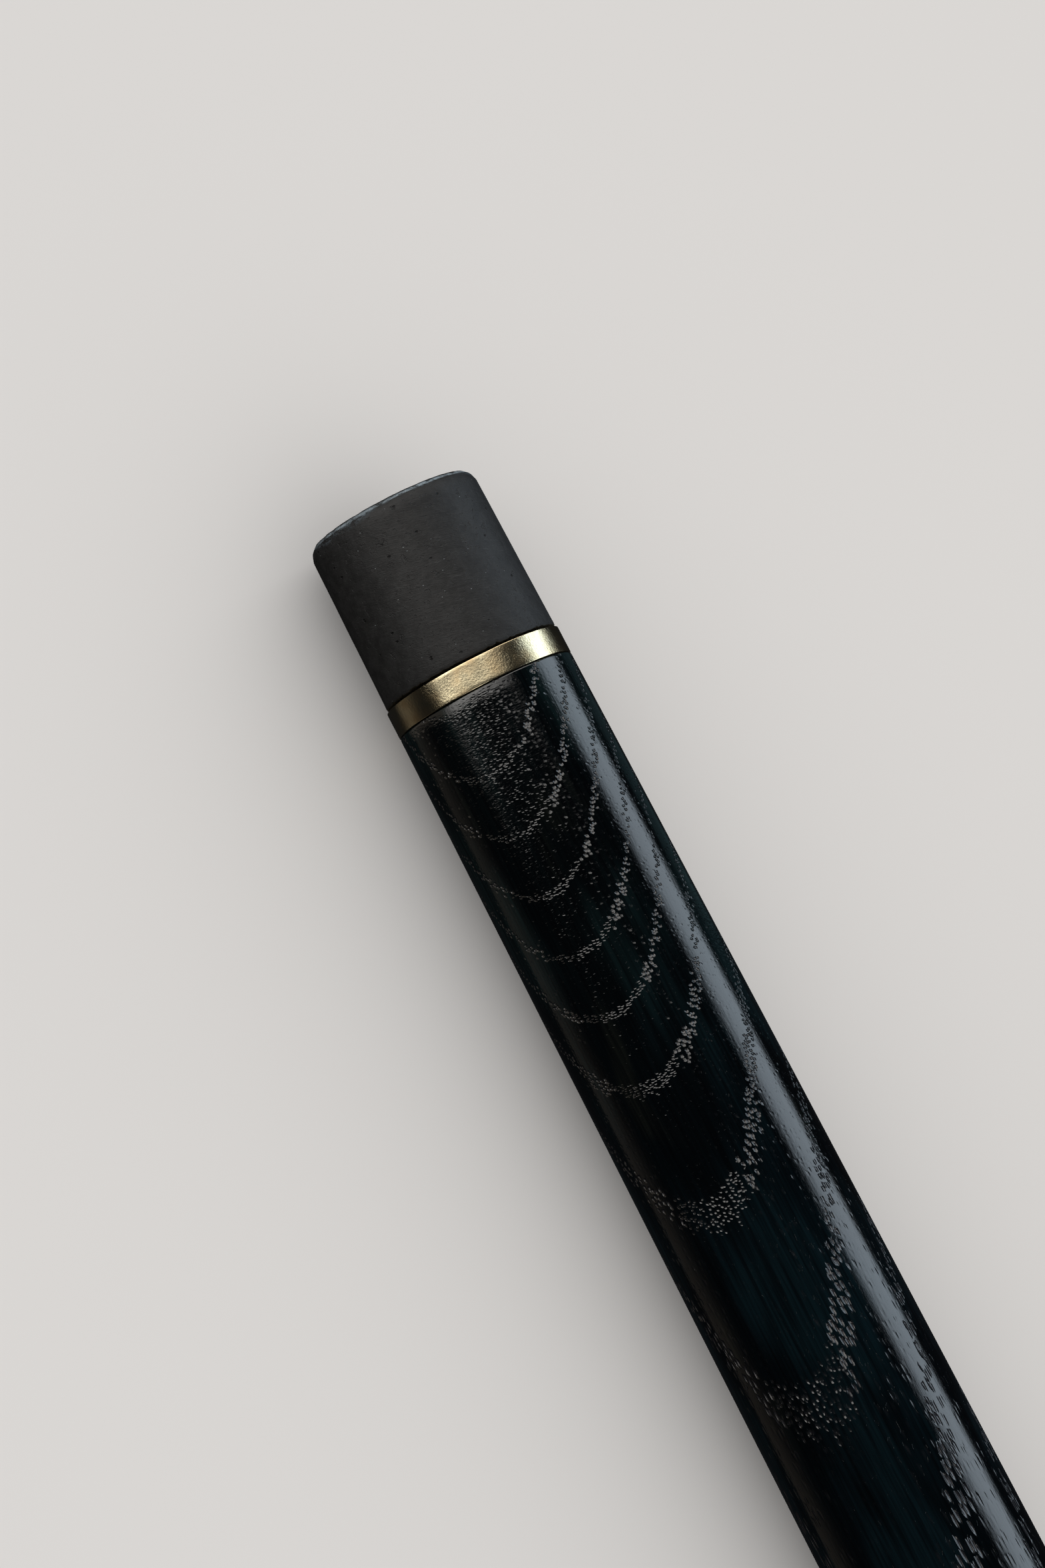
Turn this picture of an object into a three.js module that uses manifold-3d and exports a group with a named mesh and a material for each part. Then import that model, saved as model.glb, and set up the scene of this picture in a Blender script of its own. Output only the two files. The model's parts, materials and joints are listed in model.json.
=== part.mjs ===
// A walking cane with a derby handle, lying on its side as it does on a floor.
// Lengths are in millimetres. The cane is first laid along X, from the ground face of its rubber tip
// at zero to the top of its handle. Then it is tilted a little, so that the handle and the widest
// stretch of the shaft both touch z = 0, and moved until the origin is under the middle of the cane.
import * as THREE from 'three';
import { mergeVertices } from 'three/addons/utils/BufferGeometryUtils.js';
import Module from 'manifold-3d';

const wasm = await Module();
wasm.setup();

// Gaps between neighbours
const seam = 0.3; // left where two pieces meet end to end
const fit = 0.3; // left all round a piece that sits in a bore or a socket

// The turned end of the shaft that carries the ring and the rubber tip
const spigot = {
  diameter: 15.6,
  chamfer: 0.6,
};

// The rubber tip, a cap with a blind socket
const rubber = {
  length: 19.8,
  mouthDiameter: 20.8,
  endDiameter: 20.3,
  mouthRound: 0.35,
  bevelLength: 1.4,
  bevelDepth: 0.85,
  bevelCrownShare: 0.62, // how far along the bevel its bulge lies
  bevelCrownDepthShare: 0.3, // how deep the bulge lies, as a share of the bevel's depth
  endRelief: 1.4, // width of the flat rim on the ground face
  treadDepth: 1.1,
  treadWidth: 1.5,
  floor: 5.2, // rubber between the ground face and the washer's seat
};

// The steel washer on the floor of the socket
const washer = {
  thickness: 1.2,
  holeDiameter: 4.0,
};

// The brass ring between the rubber and the wood
const ring = {
  width: 2.9,
  diameter: 21.2,
  edgeRound: 0.15,
};

// The ash shaft. It widens quickly at first and then ever more slowly.
const shaft = {
  length: 815,
  startDiameter: 21.15,
  topDiameter: 25.4,
  taperRun: 215, // length over which most of the taper happens
  edgeRound: 0.25,
  tenonDiameter: 20.0,
  tenonChamfer: 0.5,
};

// The brass collar that covers the joint between shaft and handle
const collar = {
  width: 10,
  proud: 0.2, // how far it stands out from the wood below
  edgeRound: 0.4,
};

// The steel stud: a wood screw below, a machine thread above
const stud = {
  diameter: 8,
  woodLength: 34,
  woodPitch: 3.4,
  woodThreadDepth: 1.0,
  pointLength: 5,
  pointDiameter: 2.4,
  machineLength: 16,
  machinePitch: 1.6,
  machineThreadDepth: 0.6,
  boreSpare: 1.5, // bore left empty beyond each end
};

// The threaded brass insert in the handle
const insert = {
  diameter: 12,
  length: 17,
  threadPitch: 2.8,
  threadDepth: 0.9,
  recess: 0.3, // how far it sits inside the handle's foot
};

// The derby handle. Its grip lies across the shaft, and its neck stands on the collar.
const handle = {
  gripLength: 118,
  gripDepth: 26,
  gripThickness: 28,
  spineHeight: 32, // from the handle's foot to the middle of the grip
  behindShare: 0.61, // share of the grip that lies behind the shaft
  footInset: 0.2, // how far the foot stands back from the collar
  neckFlare: 20, // how far the neck spreads along the grip
  neckFlareStartShare: 0.1,
  endRoundShare: 0.11, // share of the grip taken by each rounded end
  shoulderThicknessShare: 0.9, // the neck's thickness inside the grip
};

// The grip from its rear end to its nose. Each row holds shares of the grip's length, the spine's
// height, the grip's depth and the grip's thickness.
const gripShares = [
  [0.0, 0.84, 0.74, 0.84],
  [0.13, 0.92, 0.85, 0.96],
  [0.29, 0.98, 0.92, 1.0],
  [0.46, 0.94, 0.95, 1.0],
  [0.6, 0.86, 0.9, 1.0],
  [0.74, 0.88, 0.74, 0.97],
  [0.87, 0.96, 0.68, 0.82],
  [1.0, 0.8, 0.6, 0.6],
];

// Counts of flat sides and rings
const roundSides = 48;
const smallSides = 20;
const shaftSteps = 18;
const gripSides = 28;
const gripRings = 34;
const neckRings = 9;

// Places along the cane, worked out from the sizes
const washerFoot = rubber.floor + seam;
const spigotFoot = washerFoot + washer.thickness + seam;
const ringFoot = rubber.length + seam;
const shaftFoot = ringFoot + ring.width + seam;
const shaftTop = shaftFoot + shaft.length;
const collarFoot = shaftTop + seam;
const collarTop = collarFoot + collar.width;
const handleFoot = collarTop + seam;
const spineLine = handleFoot + handle.spineHeight;
const caneTop = spineLine + handle.gripDepth / 2;

const socketRadius = spigot.diameter / 2 + fit;
const collarRadius = shaft.topDiameter / 2 + collar.proud;
const studBoreRadius = stud.diameter / 2 + fit;
const insertBoreRadius = insert.diameter / 2 + fit;

// The shaft's radius at a height above its foot
function shaftRadius(above) {
  const widened = 1 - Math.exp(-above / shaft.taperRun);
  const whole = 1 - Math.exp(-shaft.length / shaft.taperRun);
  return (shaft.startDiameter + ((shaft.topDiameter - shaft.startDiameter) * widened) / whole) / 2;
}

// A turned solid from [place along the cane, radius] pairs, read from the axis outwards and up
function turned(profile, sides) {
  const points = profile.map(([along, radius]) => new THREE.Vector2(radius, along));
  return new THREE.LatheGeometry(points, sides).rotateZ(-Math.PI / 2);
}

// A turned solid with a hole right through: the profile runs round and back to its start
function turnedRing(profile, sides) {
  return turned([...profile, profile[0]], sides);
}

// manifold-3d solids for cutting and joining, and the way back
function solid(geometry) {
  const bare = geometry.index ? geometry.clone() : geometry;
  bare.deleteAttribute('normal');
  bare.deleteAttribute('uv');
  const merged = mergeVertices(bare);
  return new wasm.Manifold(
    new wasm.Mesh({
      numProp: 3,
      vertProperties: merged.getAttribute('position').array,
      triVerts: new Uint32Array(merged.index.array),
    }),
  );
}

function geometryOf(manifold) {
  const mesh = manifold.getMesh();
  const geometry = new THREE.BufferGeometry();
  geometry.setAttribute('position', new THREE.BufferAttribute(mesh.vertProperties, mesh.numProp));
  geometry.setIndex(new THREE.BufferAttribute(mesh.triVerts, 1));
  geometry.computeVertexNormals();
  return geometry;
}

function rubberTip() {
  const end = rubber.endDiameter / 2;
  const mouth = rubber.mouthDiameter / 2;
  const face = end - rubber.bevelDepth;
  const tread = face - rubber.endRelief;
  const crownDepth = rubber.bevelDepth * rubber.bevelCrownDepthShare;
  return turned(
    [
      [0, 0],
      [0, tread - rubber.treadWidth],
      [rubber.treadDepth, tread - rubber.treadWidth],
      [rubber.treadDepth, tread],
      [0, tread],
      [0, face],
      [rubber.bevelLength * (1 - rubber.bevelCrownShare), end - crownDepth],
      [rubber.bevelLength, end],
      [rubber.length - rubber.mouthRound, mouth],
      [rubber.length, mouth - rubber.mouthRound],
      [rubber.length, socketRadius],
      [rubber.floor, socketRadius],
      [rubber.floor, 0],
    ],
    roundSides,
  );
}

function tipWasher() {
  const outer = spigot.diameter / 2;
  const hole = washer.holeDiameter / 2;
  const top = washerFoot + washer.thickness;
  return turnedRing(
    [
      [washerFoot, hole],
      [washerFoot, outer],
      [top, outer],
      [top, hole],
    ],
    roundSides,
  );
}

function band(foot, width, outer, inner, edge) {
  const top = foot + width;
  return turnedRing(
    [
      [foot, inner],
      [foot, outer - edge],
      [foot + edge, outer],
      [top - edge, outer],
      [top, outer - edge],
      [top, inner],
    ],
    roundSides,
  );
}

function shaftWood() {
  const spigotRadius = spigot.diameter / 2;
  const tenonRadius = shaft.tenonDiameter / 2;
  const boreFoot = collarTop - stud.woodLength - stud.boreSpare;
  const profile = [
    [spigotFoot, 0],
    [spigotFoot, spigotRadius - spigot.chamfer],
    [spigotFoot + spigot.chamfer, spigotRadius],
    [shaftFoot, spigotRadius],
    [shaftFoot, shaftRadius(0) - shaft.edgeRound],
  ];
  for (let step = 0; step <= shaftSteps; step += 1) {
    // Steps are short near the tip, where the taper is strongest
    const share = (step / shaftSteps) ** 2;
    const above = shaft.edgeRound + share * (shaft.length - 2 * shaft.edgeRound);
    profile.push([shaftFoot + above, shaftRadius(above)]);
  }
  profile.push(
    [shaftTop, shaftRadius(shaft.length) - shaft.edgeRound],
    [shaftTop, tenonRadius],
    [collarTop - shaft.tenonChamfer, tenonRadius],
    [collarTop, tenonRadius - shaft.tenonChamfer],
    [collarTop, studBoreRadius],
    [boreFoot, studBoreRadius],
    [boreFoot, 0],
  );
  return turned(profile, roundSides);
}

function handleStud() {
  const radius = stud.diameter / 2;
  const foot = collarTop - stud.woodLength;
  const top = collarTop + seam + insert.recess + stud.machineLength;
  const profile = [
    [foot, 0],
    [foot, stud.pointDiameter / 2],
    [foot + stud.pointLength, radius - stud.woodThreadDepth],
  ];
  // A wood thread has sharp crests with wide valleys between them
  const woodRun = stud.woodLength - stud.pointLength;
  const woodTurns = Math.floor(woodRun / stud.woodPitch) - 1;
  for (let turn = 0; turn < woodTurns; turn += 1) {
    const start = foot + stud.pointLength + turn * stud.woodPitch;
    profile.push(
      [start + stud.woodPitch / 2, radius - stud.woodThreadDepth],
      [start + stud.woodPitch - stud.woodThreadDepth / 2, radius],
    );
  }
  profile.push([foot + stud.pointLength + woodTurns * stud.woodPitch, radius - stud.woodThreadDepth]);
  // A machine thread has crests and valleys of one width
  const machineFoot = collarTop;
  const machineTurns = Math.floor((top - machineFoot) / stud.machinePitch) - 1;
  profile.push([machineFoot, radius]);
  for (let turn = 0; turn < machineTurns; turn += 1) {
    const start = machineFoot + (turn + 1) * stud.machinePitch;
    profile.push([start, radius], [start + stud.machinePitch / 2, radius - stud.machineThreadDepth]);
  }
  profile.push([top - stud.machineThreadDepth, radius]);
  profile.push([top, radius - stud.machineThreadDepth], [top, 0]);
  return turned(profile, smallSides);
}

function handleInsert() {
  const outer = insert.diameter / 2;
  const core = outer - insert.threadDepth;
  const foot = handleFoot + insert.recess;
  const top = foot + insert.length;
  const turns = Math.floor(insert.length / insert.threadPitch) - 1;
  const profile = [
    [foot, studBoreRadius],
    [foot, core],
  ];
  for (let turn = 0; turn < turns; turn += 1) {
    const start = foot + (turn + 1) * insert.threadPitch;
    profile.push([start, core], [start + insert.threadPitch / 2, outer]);
  }
  profile.push([foot + (turns + 1) * insert.threadPitch, core], [top, core], [top, studBoreRadius]);
  return turnedRing(profile, smallSides);
}

// How much of its full girth the grip has near its two rounded ends
function endRound(share) {
  const toEnd = Math.min(share, 1 - share) / handle.endRoundShare;
  return toEnd >= 1 ? 1 : Math.sqrt(1 - (1 - toEnd) ** 2);
}

// The grip is a unit ball whose rings are drawn out along the spine and squeezed to its girth
function gripBody() {
  const spine = new THREE.CatmullRomCurve3(
    gripShares.map(([length, height]) => new THREE.Vector3(
      handleFoot + height * handle.spineHeight,
      (length - handle.behindShare) * handle.gripLength,
      0,
    )),
  );
  const girth = new THREE.CatmullRomCurve3(
    gripShares.map(([, , depth, thickness]) => new THREE.Vector3(
      (depth * handle.gripDepth) / 2,
      (thickness * handle.gripThickness) / 2,
      0,
    )),
  );
  const ball = new THREE.SphereGeometry(1, gripSides, gripRings);
  const place = ball.getAttribute('position');
  const unit = new THREE.Vector3();
  for (let i = 0; i < place.count; i += 1) {
    unit.fromBufferAttribute(place, i);
    const share = THREE.MathUtils.clamp((unit.y + 1) / 2, 0, 1);
    const across = Math.hypot(unit.x, unit.z) || 1;
    const middle = spine.getPoint(share);
    const run = spine.getTangent(share);
    const half = girth.getPoint(share);
    half.y = Math.min(half.y, handle.gripThickness / 2); // the cheeks stay flat between the rows
    half.multiplyScalar(endRound(share));
    const up = (unit.x / across) * half.x;
    const out = (unit.z / across) * half.y;
    place.setXYZ(i, middle.x + run.y * up, middle.y - run.x * up, out);
  }
  return ball;
}

// The neck is a unit drum that widens along the grip as it rises into it
function neckBody() {
  const foot = collarRadius - handle.footInset;
  const crown = (handle.gripThickness / 2) * handle.shoulderThicknessShare;
  const drum = new THREE.CylinderGeometry(1, 1, 1, gripSides, neckRings).rotateZ(-Math.PI / 2);
  const place = drum.getAttribute('position');
  const unit = new THREE.Vector3();
  for (let i = 0; i < place.count; i += 1) {
    unit.fromBufferAttribute(place, i);
    const share = unit.x + 1 / 2;
    const start = handle.neckFlareStartShare;
    const flared = THREE.MathUtils.clamp((share - start) / (1 - start), 0, 1);
    const along = foot + handle.neckFlare * (1 - Math.sqrt(1 - flared ** 2));
    const thick = THREE.MathUtils.lerp(foot, crown, share);
    place.setXYZ(i, handleFoot + share * handle.spineHeight, unit.y * along, unit.z * thick);
  }
  return drum;
}

function derbyHandle() {
  const boreFoot = handleFoot - seam;
  const boreTop = handleFoot + insert.recess + insert.length + stud.boreSpare;
  const bore = turned(
    [
      [boreFoot, 0],
      [boreFoot, insertBoreRadius],
      [boreTop, insertBoreRadius],
      [boreTop, 0],
    ],
    smallSides,
  );
  return geometryOf(solid(gripBody()).add(solid(neckBody())).subtract(solid(bore)));
}

// Finishes
const blackRubber = new THREE.MeshStandardMaterial({ color: 0x3a3a3b, roughness: 0.85, metalness: 0 });
const brass = new THREE.MeshStandardMaterial({ color: 0xc9a662, roughness: 0.35, metalness: 1 });
const steel = new THREE.MeshStandardMaterial({ color: 0x9b9ea1, roughness: 0.4, metalness: 1 });
const stainedAsh = new THREE.MeshStandardMaterial({ color: 0x08161c, roughness: 0.25, metalness: 0 });

function piece(name, geometry, material) {
  const mesh = new THREE.Mesh(geometry, material);
  mesh.name = name;
  return mesh;
}

const pieces = new THREE.Group();
pieces.add(
  piece('rubber_tip', rubberTip(), blackRubber),
  piece('tip_washer', tipWasher(), steel),
  piece('tip_ring', band(ringFoot, ring.width, ring.diameter / 2, socketRadius, ring.edgeRound), brass),
  piece('shaft', shaftWood(), stainedAsh),
  piece(
    'handle_collar',
    band(collarFoot, collar.width, collarRadius, shaft.tenonDiameter / 2 + fit, collar.edgeRound),
    brass,
  ),
  piece('handle_stud', handleStud(), steel),
  piece('handle_insert', handleInsert(), brass),
  piece('handle', derbyHandle(), stainedAsh),
);

// On the floor the cane rests on its handle and on the stretch of the shaft that first meets the line
// under the handle. The slope of that line is the least one from the handle down to any height.
const handleRadius = handle.gripThickness / 2;
let restSlope = Infinity;
for (let step = 0; step <= shaftSteps; step += 1) {
  const above = (step / shaftSteps) ** 2 * shaft.length;
  const slope = (handleRadius - shaftRadius(above)) / (spineLine - shaftFoot - above);
  restSlope = Math.min(restSlope, slope);
}
const restAngle = Math.atan(restSlope);
pieces.rotation.y = -restAngle;
pieces.position.z = handleRadius * Math.cos(restAngle) - spineLine * Math.sin(restAngle);

const cane = new THREE.Group();
cane.add(pieces);
cane.position.x = -caneTop / 2;
cane.position.y = (handle.behindShare - 1 / 2) * handle.gripLength;

export default cane;
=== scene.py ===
# %% [markdown]
# # A stained ash cane with a brass ring and a rubber tip
#
# The cane lies on its side on a pale floor. Its construction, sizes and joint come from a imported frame,
# and this script only dresses it: every turned piece is turned again with far more sides, the handle is
# smoothed, and each surface gets a procedural finish. Lengths are in metres, but the sizes of small
# things are easier to read in millimetres, so they are written as a count times MM.

# %% Load the frame
import bpy
import bmesh
import json
import math
from mathutils import Matrix, Vector, noise


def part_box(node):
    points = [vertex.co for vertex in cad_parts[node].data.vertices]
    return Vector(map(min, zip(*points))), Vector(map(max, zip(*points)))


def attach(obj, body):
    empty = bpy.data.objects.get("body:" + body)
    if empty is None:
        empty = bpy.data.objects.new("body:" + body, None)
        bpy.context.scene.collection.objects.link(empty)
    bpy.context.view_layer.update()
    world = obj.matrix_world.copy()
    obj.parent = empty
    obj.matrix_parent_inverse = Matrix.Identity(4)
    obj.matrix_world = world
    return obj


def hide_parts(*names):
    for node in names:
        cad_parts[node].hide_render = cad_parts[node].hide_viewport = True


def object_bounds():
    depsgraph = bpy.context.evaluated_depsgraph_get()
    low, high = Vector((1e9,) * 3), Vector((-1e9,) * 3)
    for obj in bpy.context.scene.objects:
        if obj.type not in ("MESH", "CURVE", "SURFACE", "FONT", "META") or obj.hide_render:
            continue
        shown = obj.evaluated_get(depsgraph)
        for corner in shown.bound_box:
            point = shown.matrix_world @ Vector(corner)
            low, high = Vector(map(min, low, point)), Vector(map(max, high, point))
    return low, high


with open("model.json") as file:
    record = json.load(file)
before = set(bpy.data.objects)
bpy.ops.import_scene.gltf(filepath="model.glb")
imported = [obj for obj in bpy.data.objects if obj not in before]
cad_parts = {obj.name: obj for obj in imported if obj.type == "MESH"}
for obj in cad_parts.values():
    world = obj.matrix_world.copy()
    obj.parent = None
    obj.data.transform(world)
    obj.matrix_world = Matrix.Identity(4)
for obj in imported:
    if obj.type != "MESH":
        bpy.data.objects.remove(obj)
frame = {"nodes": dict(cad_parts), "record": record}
cad_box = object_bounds()
MM = 0.001
print("CAD box in millimetres:", [[round(v / MM, 2) for v in corner] for corner in cad_box])

# %% [markdown]
# ## The cane's own axes
#
# Everything on a cane is placed by its distance from the ground, measured along the shaft. The frame
# gives the face that meets the ground as a mount, so a matrix is built from it once: X runs up the
# shaft from the ground face, and Z points away from the floor. Pieces are modelled in these axes and
# carried into the frame by the matrix, and the finishes use its inverse.

# %% Axes along the shaft
ground_mount = next(m for m in frame["record"]["mounts"] if m["name"] == "ground_face")
ground = Vector(ground_mount["pos_m"])
along = -Vector(ground_mount["axis"]).normalized()
sideways = Vector((0, 1, 0))
upwards = along.cross(sideways).normalized()
cane_axes = Matrix((along, sideways, upwards)).transposed().to_4x4()
cane_axes.translation = ground
to_cane = cane_axes.inverted()
print("The shaft rises by", round(math.degrees(math.asin(along.z)), 2), "degrees towards the handle")

# %% Outlines of the turned CAD pieces
SAME = 0.04


def outline_of(node):
    """Where a turned CAD node has corners: places along the shaft, lowest first, with all radii there."""
    corners = [(to_cane @ vertex.co) / MM for vertex in frame["nodes"][node].data.vertices]
    found = []
    for place, radius in sorted((spot.x, math.hypot(spot.y, spot.z)) for spot in corners):
        if not found or place - found[-1][0] > SAME:
            found.append((round(place, 2), []))
        if all(abs(radius - known) > SAME for known in found[-1][1]):
            found[-1][1].append(round(radius, 2))
    return [(place, sorted(radii)) for place, radii in found]


shaft_rings = [(place, max(radii)) for place, radii in outline_of("shaft")]
ring_foot, ring_top = outline_of("tip_ring")[0][0], outline_of("tip_ring")[-1][0]
collar_foot = outline_of("handle_collar")[0][0]
print("The ring runs from", ring_foot, "to", ring_top, "mm above the ground face")

# %% [markdown]
# ## Camera
#
# The picture was taken with a long lens, nearly square to the shaft, with the rubber tip turned a
# little away. Five things fix the camera: the pixel where the ring's middle falls, the slope of the
# shaft in the picture, the angle by which the tip leans away, the distance, and how many pixels a
# millimetre takes up there. The cane is round, so the camera may stand anywhere around its axis. It
# leans away from the tall strip of light that the far side of the shaft mirrors, because that light
# then has room above the floor.

# %% Camera
PICTURE = (1568, 2352)
RING_PIXEL = (718.2, 1024.1)
SHAFT_SLOPE = math.radians(62.6)
LEAN_AWAY = math.radians(6.8)
DISTANCE = 574 * MM
PIXELS_PER_MM = 13.6
ROUND_THE_AXIS = math.radians(-28)

focal_pixels = DISTANCE / MM * PIXELS_PER_MM
ring_middle = cane_axes @ Vector(((ring_foot + ring_top) / 2 * MM, 0, 0))
towards_camera = Matrix.Rotation(-ROUND_THE_AXIS, 3, along) @ upwards


def triad(first, second):
    """Three square directions as the columns of a matrix: first, and second made square to it."""
    second = (second - second.dot(first) * first).normalized()
    return Matrix((first, second, first.cross(second))).transposed()


ray = -(math.cos(LEAN_AWAY) * towards_camera + math.sin(LEAN_AWAY) * along)
seen_ray = Vector((
    (RING_PIXEL[0] - PICTURE[0] / 2) / focal_pixels,
    (PICTURE[1] / 2 - RING_PIXEL[1]) / focal_pixels,
    -1,
)).normalized()
seen_shaft = Vector((math.cos(SHAFT_SLOPE), -math.sin(SHAFT_SLOPE), 0))
turn = triad(ray, along) @ triad(seen_ray, seen_shaft).transposed()

lens = bpy.data.cameras.new("camera")
lens.lens = lens.sensor_width * focal_pixels / PICTURE[1]
lens.clip_start = 1 * MM
camera = bpy.data.objects.new("camera", lens)
camera.matrix_world = Matrix.Translation(ring_middle - ray * DISTANCE) @ turn.to_4x4()
bpy.context.scene.collection.objects.link(camera)
bpy.context.scene.camera = camera
print("Lens of", round(lens.lens, 1), "mm, camera at", [round(v, 3) for v in camera.location])

# %% [markdown]
# ## Floor and lights
#
# The cane was pictured in a dark studio, and a bright floor would turn its black sides grey. So the
# floor is plain and pale, but glossy and diffuse rays don't see it, and it has a light of its own. Light
# linking keeps every other light off it. A gloss surface shows what it mirrors, so each light on the
# cane is there for its mirror image, and its edges are faded where that image ends softly.
#
# - The tall strip beyond the cane makes the long pale line down the shaft.
# - The big softbox lies past the rubber tip, on the camera's side. Smooth wood mirrors the dark beside
#   it, so it shows only on what tilts towards the tip, such as the end walls of the pores, and on the
#   brushed brass. The far softbox does the same for pores on the far side.
# - The low strip and the low softbox do this work again, weakly, for the side near the floor.
# - The far fill gives the far edge of the shaft its teal gleam, and the handle light shows the handle.
#
# The low strip, the low softbox and the far fill stand below the floor, which doesn't block them.

# %% Floor
FLOOR_SIZE = 24.0
FLOOR_GREY = 0.72


def new_mesh_object(name, mesh):
    piece = bpy.data.objects.new(name, mesh)
    bpy.context.scene.collection.objects.link(piece)
    return piece


floor_mesh = bpy.data.meshes.new("floor")
half_floor = FLOOR_SIZE / 2
floor_mesh.from_pydata(
    [(x, y, 0) for x, y in ((-half_floor, -half_floor), (half_floor, -half_floor),
                            (half_floor, half_floor), (-half_floor, half_floor))],
    [], [(0, 1, 2, 3)],
)
floor = new_mesh_object("floor", floor_mesh)
floor.location.z = cad_box[0][2]
floor.visible_glossy = False
floor.visible_diffuse = False
floor_paint = bpy.data.materials.new("pale floor")
floor_paint.use_nodes = True
floor_shader = floor_paint.node_tree.nodes["Principled BSDF"]
floor_shader.inputs["Base Color"].default_value = (FLOOR_GREY, FLOOR_GREY, FLOOR_GREY * 1.01, 1)
floor_shader.inputs["Roughness"].default_value = 0.9
floor_mesh.materials.append(floor_paint)
print("Floor laid at the foot of the CAD box")

# %% Light helpers
def around(azimuth, distance, along_x):
    """A place at a distance from the cane's axis. Azimuth 0 is straight up, 90 the far side."""
    angle = math.radians(azimuth)
    return Vector((along_x, ground.y + distance * math.sin(angle), distance * math.cos(angle)))


def softbox(name, place, aim, width, height, radiance, tint, fades=(0, 0, 0, 0)):
    """A rectangular light at place that faces aim. Its power is worked out from its brightness.

    The fades are shares of its width at the left and right, and of its height at the bottom and top,
    over which the light dims. It lights the cane alone: the floor neither takes nor blocks its light.
    """
    light = bpy.data.lights.new(name, "AREA")
    light.shape = "RECTANGLE"
    light.size, light.size_y = width, height
    light.energy = radiance * math.pi * width * height
    light.color = tint
    if any(fades):
        dim_towards_edges(light, fades)
    lamp = bpy.data.objects.new(name, light)
    lamp.location = place
    lamp.rotation_euler = (Vector(aim) - Vector(place)).to_track_quat("-Z", "Y").to_euler()
    lamp.visible_camera = False
    lamp.light_linking.receiver_collection = all_but_floor
    lamp.light_linking.blocker_collection = all_but_floor
    bpy.context.scene.collection.objects.link(lamp)
    return lamp


def dim_towards_edges(light, fades):
    """Fades a light towards its edges by the place on the light that a ray hits."""
    light.use_nodes = True
    tree = light.node_tree
    on_light = tree.nodes.new("ShaderNodeSeparateXYZ")
    tree.links.new(tree.nodes.new("ShaderNodeNewGeometry").outputs["Parametric"], on_light.inputs[0])
    strength = None
    for side, (edge, share) in enumerate(zip((0.0, 1.0, 0.0, 1.0), fades)):
        if not share:
            continue
        fade = tree.nodes.new("ShaderNodeMapRange")
        fade.interpolation_type = "SMOOTHSTEP"
        fade.inputs["From Min"].default_value = edge
        fade.inputs["From Max"].default_value = abs(edge - share)
        tree.links.new(on_light.outputs[side // 2], fade.inputs["Value"])
        if strength is None:
            strength = fade.outputs[0]
            continue
        both = tree.nodes.new("ShaderNodeMath")
        both.operation = "MULTIPLY"
        tree.links.new(strength, both.inputs[0])
        tree.links.new(fade.outputs[0], both.inputs[1])
        strength = both.outputs[0]
    tree.links.new(strength, tree.nodes["Emission"].inputs["Strength"])


print("Straight above the cane's middle, a metre up:", [round(v, 3) for v in around(0, 1.0, 0.0)])

# %% [markdown]
# A collection tells a light which objects it reaches. The floor has to be left out of all lights but
# one, and a collection can say so: an object in it may be marked as excluded, and then the light
# reaches everything else. Two weak lights reach the shaft alone, because the brass and the rubber would
# mirror them where they should be dark. The shaft joins their collection when it is made.

# %% Which lights reach what
all_but_floor = bpy.data.collections.new("all but the floor")
all_but_floor.objects.link(floor)
all_but_floor.collection_objects[0].light_linking.link_state = "EXCLUDE"
floor_only = bpy.data.collections.new("the floor alone")
floor_only.objects.link(floor)
shaft_only = bpy.data.collections.new("the shaft alone")
print("Collections for light linking ready")

# %% Lights on the cane
COOL = (0.75, 0.88, 1.0)
NEUTRAL = (1.0, 0.97, 0.93)
WARM = (1.0, 0.86, 0.70)
TEAL_TINT = (0.45, 0.9, 1.0)
STRIP_REACH = 1.0
STRIP_LOW = math.radians(2.2)
STRIP_HIGH = math.radians(48)
KEY_EDGE = -0.58

strip_bottom, strip_top = (STRIP_REACH * math.tan(angle) for angle in (STRIP_LOW, STRIP_HIGH))
strip_middle = (strip_bottom + strip_top) / 2
softbox("tall strip", (-0.1, STRIP_REACH, strip_middle), (-0.1, 0, strip_middle),
        width=1.7, height=strip_top - strip_bottom, radiance=2.1, tint=COOL, fades=(0, 0, 0.22, 0.54))
softbox("big softbox", around(-33, 0.9, KEY_EDGE - 0.7), around(-33, 0.0, KEY_EDGE - 0.7),
        width=1.4, height=2.2, radiance=2.3, tint=NEUTRAL, fades=(0.03, 0.04, 0.30, 0.54))
softbox("far softbox", around(34, 0.9, KEY_EDGE - 1.05), around(34, 0.0, KEY_EDGE - 1.05),
        width=1.4, height=1.1, radiance=1.9, tint=NEUTRAL, fades=(0.03, 0.05, 0.15, 0.0))
softbox("low strip", around(-125, 1.0, -0.1), around(-125, 0.0, -0.1),
        width=1.7, height=0.77, radiance=0.08, tint=WARM, fades=(0, 0, 0.08, 1.0))
low_softbox = softbox("low softbox", around(-115, 0.9, KEY_EDGE - 0.5), around(-115, 0.0, KEY_EDGE - 0.5),
                      width=1.0, height=1.6, radiance=0.25, tint=WARM, fades=(0.03, 0.03, 0.3, 0.2))
far_fill = softbox("far fill", around(114, 1.0, -0.80), around(114, 0.0, -0.80),
                   width=0.7, height=0.7, radiance=0.055, tint=TEAL_TINT, fades=(0, 0.35, 0.3, 0.2))
softbox("handle light", around(-35, 1.1, 1.5), around(-35, 0.0, 0.9),
        width=0.9, height=0.9, radiance=2.5, tint=NEUTRAL)
for lamp in (low_softbox, far_fill):
    lamp.light_linking.receiver_collection = shaft_only
print("The big softbox starts at X =", KEY_EDGE, "m, past the rubber tip")

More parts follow.
